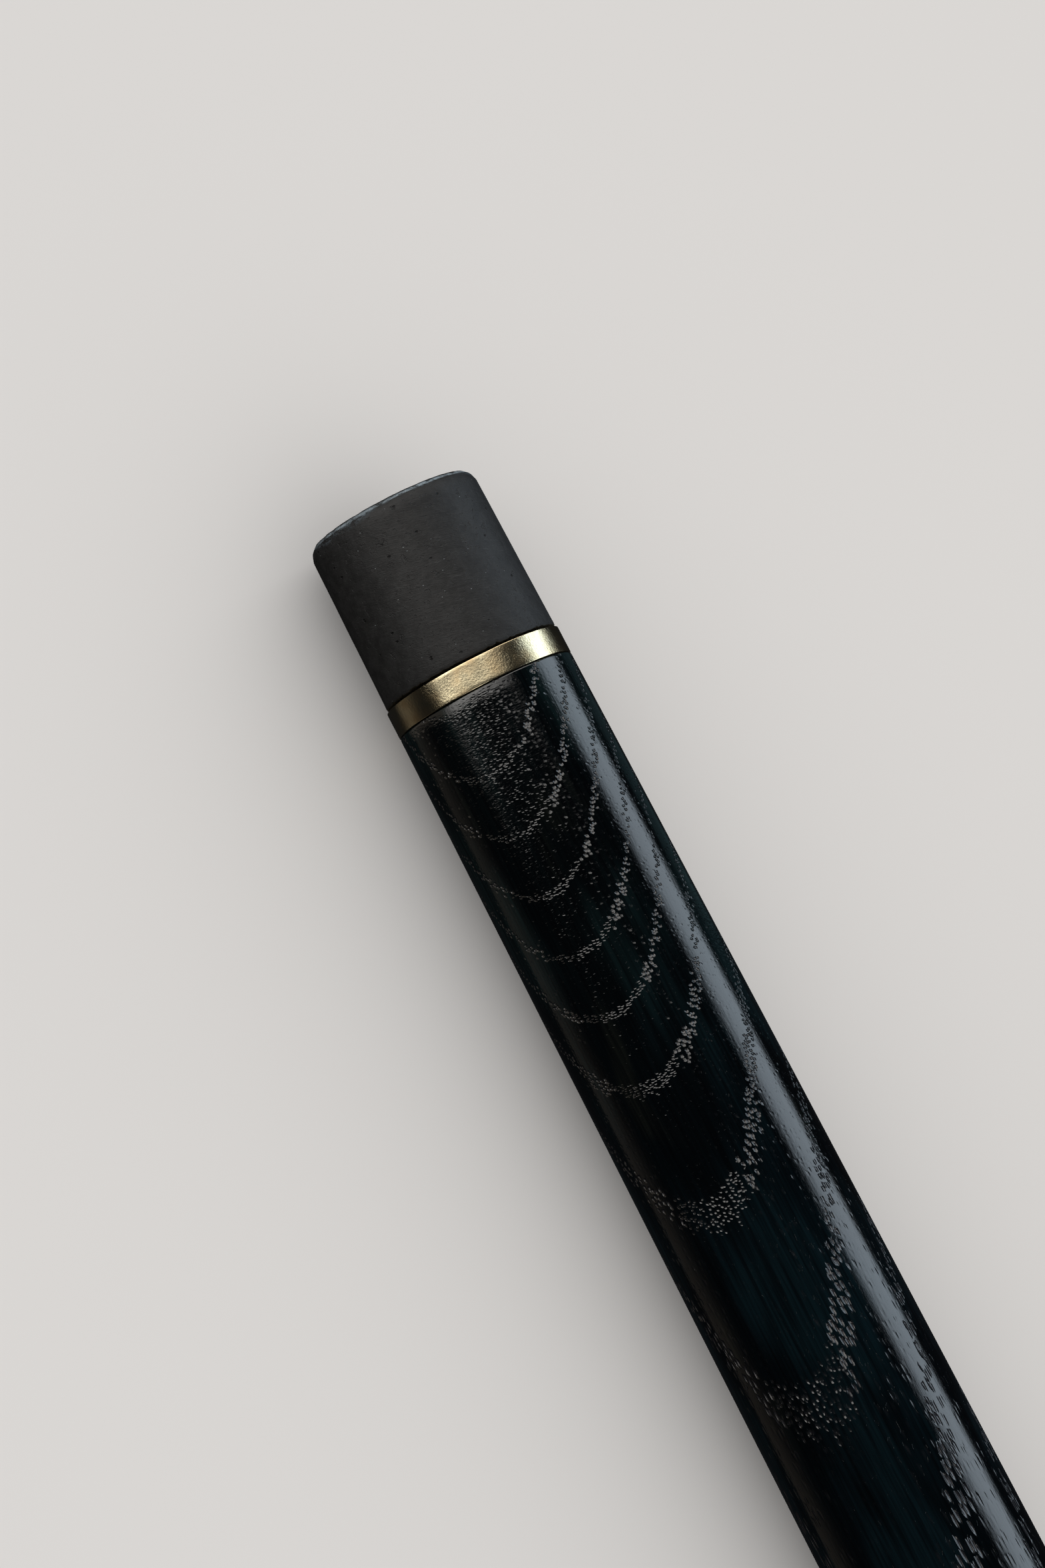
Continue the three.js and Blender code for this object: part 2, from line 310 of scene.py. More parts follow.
# %% [markdown]
# The floor's light is far wider than the floor, so the floor is evenly bright to its edges. The world
# around is nearly black, except for the camera, which sees it as pale as the floor where the floor ends.

# %% Light on the floor, and the world
FLOOR_LIGHT_SIZE = 80.0
FLOOR_LIGHT_HEIGHT = 8.0
STUDIO_DARK = (0.008, 0.0082, 0.009, 1)
BEYOND_THE_FLOOR = (0.705, 0.685, 0.655, 1)

floor_light = softbox("floor light", (0, 0, FLOOR_LIGHT_HEIGHT), (0, 0, 0),
                      width=FLOOR_LIGHT_SIZE, height=FLOOR_LIGHT_SIZE, radiance=0.99, tint=NEUTRAL)
floor_light.light_linking.receiver_collection = floor_only
floor_light.light_linking.blocker_collection = None

world = bpy.data.worlds.new("dark studio")
world.use_nodes = True
studio = world.node_tree
seen_by_camera = studio.nodes.new("ShaderNodeLightPath").outputs["Is Camera Ray"]
studio_colour = studio.nodes.new("ShaderNodeMix")
studio_colour.data_type = "RGBA"
studio_colour.inputs[6].default_value = STUDIO_DARK
studio_colour.inputs[7].default_value = BEYOND_THE_FLOOR
studio.links.new(seen_by_camera, studio_colour.inputs[0])
studio.links.new(studio_colour.outputs[2], studio.nodes["Background"].inputs["Color"])
bpy.context.scene.world = world
bpy.context.scene.view_settings.view_transform = "Standard"
print(len(bpy.data.lights), "lights ready")

# %% [markdown]
# ## A short way to write node trees
#
# A finish is a graph of many small nodes. Written out in full it hides what it does, so a helper adds a
# node, fills its inputs with numbers or with other nodes' outputs, and hands back its output.

# %% Node helper
class Graph:
    """Adds nodes to one node tree. An input may be a number, a tuple or another node's output."""

    def __init__(self, tree):
        self.tree = tree

    def add(self, kind, inputs=None, output=0, **settings):
        node = self.tree.nodes.new(kind)
        for name, value in settings.items():
            setattr(node, name, value)
        for name, value in (inputs or {}).items():
            self.fill(node.inputs[name], value)
        return node.outputs[output]

    def fill(self, socket, value):
        if isinstance(value, bpy.types.NodeSocket):
            self.tree.links.new(value, socket)
        else:
            socket.default_value = value

    def math(self, operation, first, second=0.0, third=0.0):
        return self.add("ShaderNodeMath", {0: first, 1: second, 2: third}, operation=operation)

    def vector(self, operation, first, second=(0, 0, 0)):
        return self.add("ShaderNodeVectorMath", {0: first, 1: second}, operation=operation)

    def split(self, vector):
        node = self.tree.nodes.new("ShaderNodeSeparateXYZ")
        self.fill(node.inputs[0], vector)
        return node.outputs

    def join(self, x, y, z):
        return self.add("ShaderNodeCombineXYZ", {0: x, 1: y, 2: z})

    def step(self, value, start, end, low=0.0, high=1.0):
        """Runs smoothly from low to high while value runs from start to end."""
        return self.add("ShaderNodeMapRange", {
            "Value": value, "From Min": start, "From Max": end, "To Min": low, "To Max": high,
        }, interpolation_type="SMOOTHSTEP")

    def mix(self, share, first, second):
        return self.add("ShaderNodeMix", {"Factor": share, "A": first, "B": second}, data_type="FLOAT")

    def colour(self, share, first, second):
        node = self.tree.nodes.new("ShaderNodeMix")
        node.data_type = "RGBA"
        self.fill(node.inputs[0], share)
        self.fill(node.inputs[6], first)
        self.fill(node.inputs[7], second)
        return node.outputs[2]

    def noise(self, vector, scale=1.0, detail=2.0, roughness=0.5):
        return self.add("ShaderNodeTexNoise", {
            "Vector": vector, "Scale": scale, "Detail": detail, "Roughness": roughness,
        })

    def group(self, name, inputs=None):
        """Places a shader node group and hands back its outputs by name."""
        node = self.tree.nodes.new("ShaderNodeGroup")
        node.node_tree = bpy.data.node_groups[name]
        for key_name, value in (inputs or {}).items():
            self.fill(node.inputs[key_name], value)
        return node.outputs


def new_group(name, inputs, outputs):
    """A shader node group with named sockets. Hands back its graph, its inputs and its output node."""
    tree = bpy.data.node_groups.new(name, "ShaderNodeTree")
    for socket, kind, default in inputs:
        made = tree.interface.new_socket(name=socket, in_out="INPUT", socket_type=kind)
        if default is not None:
            made.default_value = default
    for socket, kind in outputs:
        tree.interface.new_socket(name=socket, in_out="OUTPUT", socket_type=kind)
    return Graph(tree), tree.nodes.new("NodeGroupInput").outputs, tree.nodes.new("NodeGroupOutput")


FLOAT, VECTOR = "NodeSocketFloat", "NodeSocketVector"
print("Node helpers ready")

# %% [markdown]
# ## Where a point is on the cane
#
# Turning marks, wear and grain all follow the shaft, so each finish first asks where it is on the cane:
# how many millimetres above the ground face, and how far round. One Mapping node holds the inverse of
# the cane's axes, and the angle times the radius gives the distance round.

# %% Group: place on the cane
g, _, out = new_group("place on the cane", [], [
    ("Place", VECTOR), ("Above Ground", FLOAT), ("Around", FLOAT)])
where = g.add("ShaderNodeTexCoord", output="Object")
place = g.add("ShaderNodeMapping", {
    "Vector": where,
    "Location": to_cane.translation / MM,
    "Rotation": to_cane.to_euler(),
    "Scale": (1 / MM, 1 / MM, 1 / MM),
})
x, y, z = g.split(place)
radius = g.math("SQRT", g.math("ADD", g.math("MULTIPLY", y, y), g.math("MULTIPLY", z, z)))
around_mm = g.math("MULTIPLY", g.math("ARCTAN2", y, z), radius)
for socket, value in (("Place", place), ("Above Ground", x), ("Around", around_mm)):
    g.fill(out.inputs[socket], value)
print("Group ready: place on the cane")

# %% [markdown]
# ## Ring-porous ash
#
# Ash grows a band of wide pores each spring and dense wood after it. A shaft is sawn along the tree,
# but its grain leans, so the surface cuts the growth rings at a slant and they show as tall arches.
# The first group works on a point in a wood frame: X along the piece, Z towards the tree's middle. It
# adds up how far the grain has climbed at X and how far the point is from the middle. The sum is a
# depth in the wood, and one ring after another is counted off on it. The grain leans steeply near the
# tip and then swings parallel to the shaft, which a logarithm gives, so the arches get ever longer.
# The rings are narrow at first and wide later.

# %% Group: growth rings
GRAIN_LEAN = 0.562
LEAN_TILL = 71.0
STRAIGHTENS = 42.6
MIDDLE_DEPTH = 80.0
WIDE_RING = 8.0
WIDE_FROM = 27.5
RING_CHANGE = 8.0
FIRST_RING = 0.80
WARP = 0.45
WARP_FREQUENCY = (0.05, 0.12, 0.12)

g, given, out = new_group("growth rings", [("Wood Place", VECTOR, None)],
                          [("Since Spring", FLOAT)])
x, y, z = g.split(given["Wood Place"])
beyond = g.math("MAXIMUM", g.math("SUBTRACT", x, LEAN_TILL), 0.0)
stretch = g.math("MULTIPLY_ADD", beyond, 1 / STRAIGHTENS, 1.0)
climb = g.math("MULTIPLY_ADD", g.math("LOGARITHM", stretch, math.e), STRAIGHTENS,
               g.math("MINIMUM", x, LEAN_TILL))
climb = g.math("MULTIPLY", climb, GRAIN_LEAN)
to_middle = g.math("SUBTRACT", MIDDLE_DEPTH, z)
from_middle = g.math("SQRT", g.math("MULTIPLY_ADD", y, y, g.math("MULTIPLY", to_middle, to_middle)))
waves = g.noise(g.vector("MULTIPLY", given["Wood Place"], WARP_FREQUENCY), detail=3.0)
depth = g.math("ADD", g.math("ADD", climb, g.math("SUBTRACT", from_middle, MIDDLE_DEPTH)),
               g.math("MULTIPLY", g.math("SUBTRACT", waves, 0.5), WARP))
narrow = g.math("SMOOTH_MIN", depth, WIDE_FROM, RING_CHANGE)
count = g.math("SUBTRACT", g.math("DIVIDE", g.math("ADD", depth, narrow), WIDE_RING), FIRST_RING)
g.fill(out.inputs["Since Spring"], g.math("FRACT", count))
print("Group ready: growth rings")

# %% [markdown]
# A pore is a fine tube. Cut at a slant, it leaves a pit that deepens slowly and ends at a steep wall,
# and this wall is what glints. Each cell of a flat Voronoi texture on the surface holds one such pit.
# The pit asks the growth rings about the place of its own middle, so no pit is cut in two by the edge
# of a band: nearly every cell at the spring line gets a deep one, a few stray cells elsewhere get a
# shallower one, and all others such faint ones that they only roughen the wood between the arches.
#
# Where the surface runs along the rings, on both arms of an arch, the pores are cut at a lower angle and
# their pits are longer, so there are two layers. Up the shaft the grain swings parallel to the surface,
# and the pits get longer there too. Stretching the texture's X coordinate more and more does this: run
# is the place along the shaft as the pits of the first length count it, and stretch says how much longer
# a pit is here. The bands of pores are wider there as well.

# %% Group: pits
PIT_LENGTH = 0.26
PITS_STRETCH = 15.0
LONGEST_TILL = 110.0
CELL_RANDOMNESS = 0.9

g, given, out = new_group("pits", [
    ("Wood Place", VECTOR, None), ("Stray Pores", FLOAT, 0.05),
    ("Width", FLOAT, 0.46), ("Longer", FLOAT, 1.0),
    ("Band", FLOAT, 0.34), ("Narrow Band", FLOAT, 0.45),
    ("Shallowest", FLOAT, 0.45), ("Wall Start", FLOAT, 0.0),
    ("Side Start", FLOAT, 0.0), ("Side End", FLOAT, 100.0), ("Seed", FLOAT, 0.0),
], [("Pits", FLOAT)])
x, y, z = g.split(given["Wood Place"])
beyond = g.math("MAXIMUM", g.math("SUBTRACT", x, LEAN_TILL), 0.0)
stretching = g.math("MINIMUM", beyond, LONGEST_TILL)
stretch = g.math("MULTIPLY_ADD", stretching, 1 / PITS_STRETCH, 1.0)
run = g.math("MULTIPLY_ADD", g.math("LOGARITHM", stretch, math.e), PITS_STRETCH,
             g.math("MINIMUM", x, LEAN_TILL))
run = g.math("ADD", run, g.math("DIVIDE", g.math("SUBTRACT", beyond, stretching), stretch))
radius = g.math("SQRT", g.math("ADD", g.math("MULTIPLY", y, y), g.math("MULTIPLY", z, z)))
across = g.math("DIVIDE", g.math("MULTIPLY", g.math("ARCTAN2", y, z), radius), given["Width"])
shortest = g.math("MULTIPLY", given["Longer"], PIT_LENGTH)
cell_place = g.join(g.math("ADD", g.math("DIVIDE", run, shortest), given["Seed"]), across, 0.0)
cells = g.tree.nodes.new("ShaderNodeTexVoronoi")
cells.voronoi_dimensions = "2D"
g.fill(cells.inputs["Vector"], cell_place)
g.fill(cells.inputs["Scale"], 1.0)
g.fill(cells.inputs["Randomness"], CELL_RANDOMNESS)
lengthwise, sidewise, _ = g.split(g.vector("SUBTRACT", cell_place, cells.outputs["Position"]))
pit_x = g.math("SUBTRACT", x, g.math("MULTIPLY", lengthwise, g.math("MULTIPLY", shortest, stretch)))
turned_by = g.math("DIVIDE", g.math("MULTIPLY", sidewise, given["Width"]), radius)
pit_y = g.math("SUBTRACT", y, g.math("MULTIPLY", turned_by, z))
pit_z = g.math("MULTIPLY_ADD", turned_by, y, z)
print("The pits know their own places")

# %% [markdown]
# The colour of a Voronoi cell is three random numbers, and they decide over the pit: whether it is deep,
# how deep, and where the border between the two layers runs. A smooth step is the slope of the pit's
# floor, a second one is its end wall, and a third one is both side walls. Their product is the pit.

# %% Group: pits, which cells hold a deep one
BAND_NARROW_TILL = 50.0
BAND_WIDE_FROM = 115.0
RAGGED_BAND = 0.05
RAGGED_BORDER = 1.6
IN_SPRING = 0.96
FAINT_DEPTH = 0.13
STRAY_DEPTH = 0.26

chance, strength_chance, side_chance = g.split(cells.outputs["Color"])
since_spring = g.group("growth rings", {"Wood Place": g.join(pit_x, pit_y, pit_z)})["Since Spring"]
since_spring = g.math("MULTIPLY_ADD", g.math("SUBTRACT", side_chance, 0.5), RAGGED_BAND, since_spring)
band_share = g.step(x, BAND_NARROW_TILL, BAND_WIDE_FROM, given["Narrow Band"], 1.0)
band = g.math("MULTIPLY", given["Band"], band_share)
spring_end = g.step(since_spring, g.math("MULTIPLY", band, 0.6), band, 1.0, 0.0)
spring = g.math("MULTIPLY", g.step(since_spring, 0.0, 0.01), spring_end)
wanted = g.math("MAXIMUM", g.math("MULTIPLY", spring, IN_SPRING), given["Stray Pores"])
kept = g.math("LESS_THAN", chance, wanted)
faint = g.math("MULTIPLY", g.math("POWER", strength_chance, 2.5), FAINT_DEPTH)
deep = g.mix(g.math("POWER", strength_chance, 1.5), given["Shallowest"], 1.0)
deep = g.math("MULTIPLY", deep, g.math("MULTIPLY_ADD", spring, 1.0 - STRAY_DEPTH, STRAY_DEPTH))
strength = g.mix(kept, faint, deep)
aside = g.math("MULTIPLY_ADD", side_chance, RAGGED_BORDER, g.math("ABSOLUTE", pit_y))
on_side = g.math("MULTIPLY", g.math("GREATER_THAN", aside, given["Side Start"]),
                 g.math("LESS_THAN", aside, given["Side End"]))
print("Cells chosen")

# %% Group: pits, how they are shaped
PIT_FOOT, PIT_END = -0.5, 0.46
SIDE_WALL_START, SIDE_WALL_END = 0.12, 0.48
ROUND_END = 0.7

askew = g.math("MULTIPLY", sidewise, g.math("MULTIPLY_ADD", chance, 0.7, -0.55))
straight = g.math("ADD", lengthwise, askew)
bent = g.math("MULTIPLY_ADD", g.math("MULTIPLY", sidewise, sidewise), ROUND_END, straight)
slope_in = g.step(bent, PIT_FOOT, given["Wall Start"])
end_wall = g.step(bent, given["Wall Start"], PIT_END, 1.0, 0.0)
side_walls = g.step(g.math("ABSOLUTE", sidewise), SIDE_WALL_START, SIDE_WALL_END, 1.0, 0.0)
pits = g.math("MULTIPLY", g.math("MULTIPLY", slope_in, end_wall), side_walls)
pits = g.math("MULTIPLY", g.math("MULTIPLY", pits, strength), on_side)
g.fill(out.inputs["Pits"], g.math("MULTIPLY", pits, g.math("SQRT", stretch)))
print("Group ready: pits")

# %% [markdown]
# The last group puts the two layers of pits together with what lies between them: long fibres that
# take the stain differently, slow clouds of colour, and the faint relief that the lacquer keeps. It is
# noise of several shapes: short threads, swells and ripples, and fine lines across the grain. A noise's
# shape is set by its frequency in each direction, so a small number along X draws it out lengthwise.

# %% Group: ash grain, the pits
LONGER_ASIDE = 1.8
WIDER_ASIDE = 0.54
ASIDE_FROM = 5.2
SHORT_PIT_DEPTH = 0.5
LONG_PIT_DEPTH = 1.5

g, given, out = new_group("ash grain", [("Wood Place", VECTOR, None), ("Stray Pores", FLOAT, 0.05)], [
    ("Pores", FLOAT), ("Fibres", FLOAT), ("Height", FLOAT), ("Clouds", FLOAT)])
wood_place = given["Wood Place"]
short_pits = g.group("pits", {"Wood Place": wood_place, "Stray Pores": given["Stray Pores"],
                              "Side End": ASIDE_FROM})["Pits"]
long_pits = g.group("pits", {"Wood Place": wood_place, "Stray Pores": given["Stray Pores"],
                             "Width": WIDER_ASIDE, "Longer": LONGER_ASIDE, "Band": 0.32,
                             "Narrow Band": 0.85, "Wall Start": -0.2,
                             "Shallowest": 0.7, "Side Start": ASIDE_FROM, "Seed": 7.3})["Pits"]
pores = g.math("MAXIMUM", g.math("MULTIPLY", short_pits, SHORT_PIT_DEPTH),
               g.math("MULTIPLY", long_pits, LONG_PIT_DEPTH))
print("Two layers of pits placed")

# %% Group: ash grain, the wood between the pits
FIBRE_FREQUENCY, FIBRE_HEIGHT = (0.07, 2.4, 2.4), 0.10
THREAD_FREQUENCY, THREAD_HEIGHT = (1.3, 3.4, 3.4), 0.13
RIPPLE_FREQUENCY, RIPPLE_HEIGHT = (2.6, 1.3, 1.3), 0.08
SWELL_FREQUENCY, SWELL_HEIGHT = (0.3, 1.1, 1.1), 0.16
CROSS_FREQUENCY, CROSS_HEIGHT, CROSS_IN_POROUS = (6.0, 0.9, 0.9), 0.05, 0.08
CLOUD_FREQUENCY = (0.035, 0.13, 0.13)

fibres = g.noise(g.vector("MULTIPLY", wood_place, FIBRE_FREQUENCY), detail=3.0, roughness=0.6)
threads = g.noise(g.vector("MULTIPLY", wood_place, THREAD_FREQUENCY), detail=4.0, roughness=0.65)
ripples = g.noise(g.vector("MULTIPLY", wood_place, RIPPLE_FREQUENCY), detail=2.0, roughness=0.6)
clouds = g.noise(g.vector("MULTIPLY", wood_place, CLOUD_FREQUENCY), detail=2.0)
swell = g.noise(g.vector("MULTIPLY", wood_place, SWELL_FREQUENCY))
cross_lines = g.noise(g.vector("MULTIPLY", wood_place, CROSS_FREQUENCY), detail=2.0)
cross_height = g.math("MULTIPLY_ADD", given["Stray Pores"], CROSS_IN_POROUS, CROSS_HEIGHT)
height = g.math("MULTIPLY_ADD", threads, THREAD_HEIGHT, g.math("MULTIPLY", swell, SWELL_HEIGHT))
height = g.math("MULTIPLY_ADD", fibres, FIBRE_HEIGHT, height)
height = g.math("MULTIPLY_ADD", cross_lines, cross_height, height)
height = g.math("MULTIPLY_ADD", ripples, RIPPLE_HEIGHT, height)
height = g.math("SUBTRACT", height, pores)
for socket, value in (("Pores", pores), ("Fibres", fibres), ("Height", height), ("Clouds", clouds)):
    g.fill(out.inputs[socket], value)
print("Group ready: ash grain")

# %% [markdown]
# ## Marks of turning and rubbing
#
# Turned and ground surfaces carry fine short scratches that run round the piece. They are noise drawn
# out along the way round, on a lane that slants a little. The rubber and the steel use the group so. The
# brass gives it a wide pitch and a short length, and the same marks then run across its width.

# %% Group: turning marks
g, given, out = new_group("turning marks", [
    ("Above Ground", FLOAT, 0.0), ("Around", FLOAT, 0.0), ("Pitch", FLOAT, 0.15),
    ("Length", FLOAT, 1.5), ("Slant", FLOAT, 0.0),
], [("Marks", FLOAT), ("Sparse Marks", FLOAT)])
lane = g.math("ADD", given["Above Ground"], g.math("MULTIPLY", given["Around"], given["Slant"]))
scratch_place = g.join(g.math("DIVIDE", lane, given["Pitch"]),
                       g.math("DIVIDE", given["Around"], given["Length"]), 0.0)
marks = g.noise(scratch_place, detail=2.0, roughness=0.6)
g.fill(out.inputs["Marks"], marks)
g.fill(out.inputs["Sparse Marks"], g.step(marks, 0.62, 0.78))
print("Group ready: turning marks")

# %% [markdown]
# ## Stained and lacquered ash
#
# The stain is a blue-green so dark that it reads as black, and only the longer fibres and cloudy
# patches let some teal through. Over it lies clear gloss lacquer, which could be a separate coat in the
# shader. Here the wood under it is nearly black, so the shader's own smooth surface serves as the
# lacquer, and its bump carries the open pores: each is a pit whose end wall throws a short glint. The
# shaft and the handle share the finish but are cut from different boards, so each has a wood frame.

# %% Finish: stained ash
STAIN_DARK = (0.0004, 0.0009, 0.0015, 1)
STAIN_TEAL = (0.0036, 0.0115, 0.0155, 1)
STAIN_SEA = (0.0050, 0.0125, 0.0135, 1)
STAIN_OLIVE = (0.011, 0.012, 0.009, 1)
PORE_GREY = (0.020, 0.020, 0.024, 1)
LACQUER_IOR = 1.7
LACQUER_ROUGHNESS = 0.06
PORE_ROUGHNESS = 0.24
ASH_RELIEF = 0.075 * MM
OFF_PATCH, ON_PATCH_BASE = 0.18, 0.35


def new_finish(name):
    """A material, the graph of its nodes and its Principled shader."""
    finish = bpy.data.materials.new(name)
    finish.use_nodes = True
    return finish, Graph(finish.node_tree), finish.node_tree.nodes["Principled BSDF"]


def dress_as_ash(graph, shader, grain, teal_share, teal):
    """Stain, lacquer and open pores from the outputs of the ash grain group."""
    threads = graph.step(grain["Fibres"], 0.30, 0.72)
    patch = graph.step(grain["Clouds"], 0.42, 0.62)
    share = graph.math("MULTIPLY_ADD", threads, graph.mix(patch, OFF_PATCH, 1.0),
                       graph.math("MULTIPLY", patch, ON_PATCH_BASE))
    share = graph.math("MULTIPLY", share, teal_share)
    stain = graph.colour(share, STAIN_DARK, teal)
    olive = graph.math("MULTIPLY", graph.step(grain["Clouds"], 0.28, 0.36, 0.5, 0.0), threads)
    stain = graph.colour(olive, stain, STAIN_OLIVE)
    stain = graph.colour(graph.math("MULTIPLY", grain["Pores"], 0.7), stain, PORE_GREY)
    bump = graph.add("ShaderNodeBump", {
        "Height": grain["Height"], "Strength": 1.0, "Distance": ASH_RELIEF,
    })
    graph.fill(shader.inputs["Base Color"], stain)
    graph.fill(shader.inputs["Roughness"], graph.mix(grain["Pores"], LACQUER_ROUGHNESS, PORE_ROUGHNESS))
    graph.fill(shader.inputs["Normal"], bump)
    shader.inputs["IOR"].default_value = LACQUER_IOR


print("Stain colours and the ash finish ready")

# %% [markdown]
# On the shaft the arches lean a little to one side of the camera. Near the tip the middle of the wood
# is porous all over, so stray pores fill the space between the arches there. Further up the stain turns
# from a sea green to a bluer teal, and a little less of it shows.

# %% Shaft finish
ARCH_LEAN = math.radians(-18)
POROUS_TILL = 33.0
POROUS_END = 43.0
POROUS_LEFT = (-1.0, 2.0)
POROUS_RIGHT = (3.2, 5.6)
FEW_STRAYS, MANY_STRAYS = 0.02, 0.36
TEAL_FROM = 45.0
TEAL_FULL = 85.0

shaft_ash, g, shader = new_finish("stained ash of the shaft")
here = g.group("place on the cane")
wood_place = g.add("ShaderNodeMapping", {
    "Vector": here["Place"], "Rotation": (ROUND_THE_AXIS + ARCH_LEAN, 0, 0),
})
across = g.split(wood_place)[1]
porous_middle = g.math("MULTIPLY", g.step(across, *POROUS_LEFT), g.step(across, *POROUS_RIGHT, 1.0, 0.0))
near_tip = g.step(here["Above Ground"], POROUS_TILL, POROUS_END, 1.0, 0.0)
strays = g.mix(g.math("MULTIPLY", porous_middle, near_tip), FEW_STRAYS, MANY_STRAYS)
grain = g.group("ash grain", {"Wood Place": wood_place, "Stray Pores": strays})
deeper_blue = g.step(here["Above Ground"], TEAL_FROM, TEAL_FULL)
teal_share = g.mix(deeper_blue, 1.0, 0.85)
dress_as_ash(g, shader, grain, teal_share, g.colour(deeper_blue, STAIN_SEA, STAIN_TEAL))
print("Shaft finish ready")

# %% [markdown]
# The handle is cut with its grain along the grip, so its wood frame turns X onto the grip and puts its
# axis on the middle of the grip. It starts far along the wood, where the arches are long gentle lines.

# %% Handle finish
GRIP_IN_WOOD = 240.0
GRAIN_SLANT = 0.06
HALF_GRIP = 13.0
grip_middle = (to_cane @ Vector(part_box("handle")[1])).x / MM - HALF_GRIP

handle_ash, g, shader = new_finish("stained ash of the handle")
here = g.group("place on the cane")
x, y, z = g.split(here["Place"])
along_grip = g.math("ADD", y, g.math("MULTIPLY_ADD", x, GRAIN_SLANT, GRIP_IN_WOOD))
grain = g.group("ash grain", {"Wood Place": g.join(along_grip, g.math("SUBTRACT", x, grip_middle), z)})
dress_as_ash(g, shader, grain, 1.0, STAIN_TEAL)
print("Handle finish ready")

# %% [markdown]
# ## Brass, rubber and steel
#
# The brass is thin and pressed on, so its skin is finely crinkled, more in some patches than in others,
# with faint lines drawn across its width. It was brushed round the shaft, so its highlight is drawn out
# along the shaft: an anisotropic highlight does that, and a radial Tangent node tells it the direction.

# %% Finish: brass
BRASS_BRIGHT = (1.0, 0.87, 0.57, 1)
BRASS_TARNISHED = (0.80, 0.62, 0.36, 1)
BRASS_RELIEF = 0.031 * MM

brass, g, shader = new_finish("crinkled brass")
here = g.group("place on the cane")
crinkle = g.noise(here["Place"], scale=4.2, detail=4.0, roughness=0.6)
patches = g.noise(here["Place"], scale=0.16, detail=1.0)
lines = g.group("turning marks", {
    "Above Ground": here["Above Ground"], "Around": here["Around"], "Pitch": 2.5, "Length": 0.10})["Marks"]
relief = g.math("ADD", g.math("MULTIPLY", crinkle, g.step(patches, 0.40, 0.60, 0.35, 1.0)),
                g.math("MULTIPLY", lines, 0.14))
tarnish = g.step(g.noise(here["Place"], scale=0.5, detail=4.0), 0.35, 0.75)
g.fill(shader.inputs["Base Color"], g.colour(tarnish, BRASS_BRIGHT, BRASS_TARNISHED))
g.fill(shader.inputs["Roughness"], g.mix(tarnish, 0.15, 0.24))
g.fill(shader.inputs["Normal"], g.add("ShaderNodeBump", {
    "Height": relief, "Strength": 1.0, "Distance": BRASS_RELIEF}))
g.fill(shader.inputs["Tangent"], g.add("ShaderNodeTangent", direction_type="RADIAL", axis="X"))
shader.inputs["Metallic"].default_value = 1.0
shader.inputs["Anisotropic"].default_value = 0.6
shader.inputs["Anisotropic Rotation"].default_value = 0.25
print("Brass ready")

# %% [markdown]
# The rubber is moulded and was then ground, so it shows short slanted scratches and some long ones, a
# few nicks, painted near black as the shade inside them, and pale specks. Its ground edge is scuffed to
# a blue-grey, and a pale line along the edge of the ground face is partly wear and partly a painted
# highlight of that rounded edge. The scratches belong to the wall: they depend on the angle round the
# cane and would meet in a star in the middle of the ground face, so a mask keeps them off it.

# %% Finish: rubber
RUBBER_DARK = (0.0130, 0.0130, 0.0131, 1)
RUBBER_PALE = (0.0254, 0.0256, 0.0258, 1)
RUBBED = (0.066, 0.068, 0.070, 1)
SCUFF = (0.16, 0.20, 0.235, 1)
SPECK = (0.30, 0.33, 0.35, 1)
NICK_SHADE = (0.001, 0.001, 0.001, 1)

rubber, g, shader = new_finish("scuffed black rubber")
here = g.group("place on the cane")
rub = g.group("turning marks", {"Above Ground": here["Above Ground"], "Around": here["Around"],
                                "Pitch": 0.10, "Length": 0.7, "Slant": -0.28})
long_rub = g.group("turning marks", {"Above Ground": here["Above Ground"], "Around": here["Around"],
                                     "Pitch": 0.22, "Length": 2.6, "Slant": -0.22})
lumps = g.noise(here["Place"], scale=0.75, detail=3.0, roughness=0.6)
grain_size = g.noise(here["Place"], scale=2.2, detail=5.0, roughness=0.7)
body = g.colour(g.step(g.math("MULTIPLY_ADD", lumps, 0.6, g.math("MULTIPLY", grain_size, 0.4)), 0.35, 0.65),
                RUBBER_DARK, RUBBER_PALE)
rubbed_here = g.step(g.noise(here["Place"], scale=0.35), 0.42, 0.62, 0.15, 1.0)
on_wall = g.step(here["Above Ground"], 0.05, 0.3)
rubbed_here = g.math("MULTIPLY", rubbed_here, on_wall)
rubbed = g.math("MULTIPLY", g.math("MAXIMUM", rub["Sparse Marks"], long_rub["Sparse Marks"]), rubbed_here)
body = g.colour(g.math("MULTIPLY", rubbed, 0.75), body, RUBBED)
specks = g.tree.nodes.new("ShaderNodeTexVoronoi")
g.fill(specks.inputs["Vector"], g.vector("MULTIPLY", here["Place"], (1.9, 1.2, 1.2)))
specks.inputs["Scale"].default_value = 1.0
speck_chance, nick_chance, _ = g.split(specks.outputs["Color"])
speck = g.math("MULTIPLY", g.math("LESS_THAN", speck_chance, 0.11),
               g.step(specks.outputs["Distance"], 0.03, 0.13, 1.0, 0.0))
nick = g.math("MULTIPLY", g.math("GREATER_THAN", nick_chance, 0.95),
              g.step(specks.outputs["Distance"], 0.10, 0.30, 1.0, 0.0))
body = g.colour(g.math("MULTIPLY", speck, 0.8), body, SPECK)
# The nicks are painted near black: painted shade inside these small hollows.
body = g.colour(nick, body, NICK_SHADE)
print("Rubber colours ready")

# %% Finish: rubber, its scuffed edge and a painted edge highlight
EDGE_WEAR_AND_HIGHLIGHT = (0.34, 0.41, 0.46, 1)
WEAR_AND_HIGHLIGHT_PLACE = 0.30

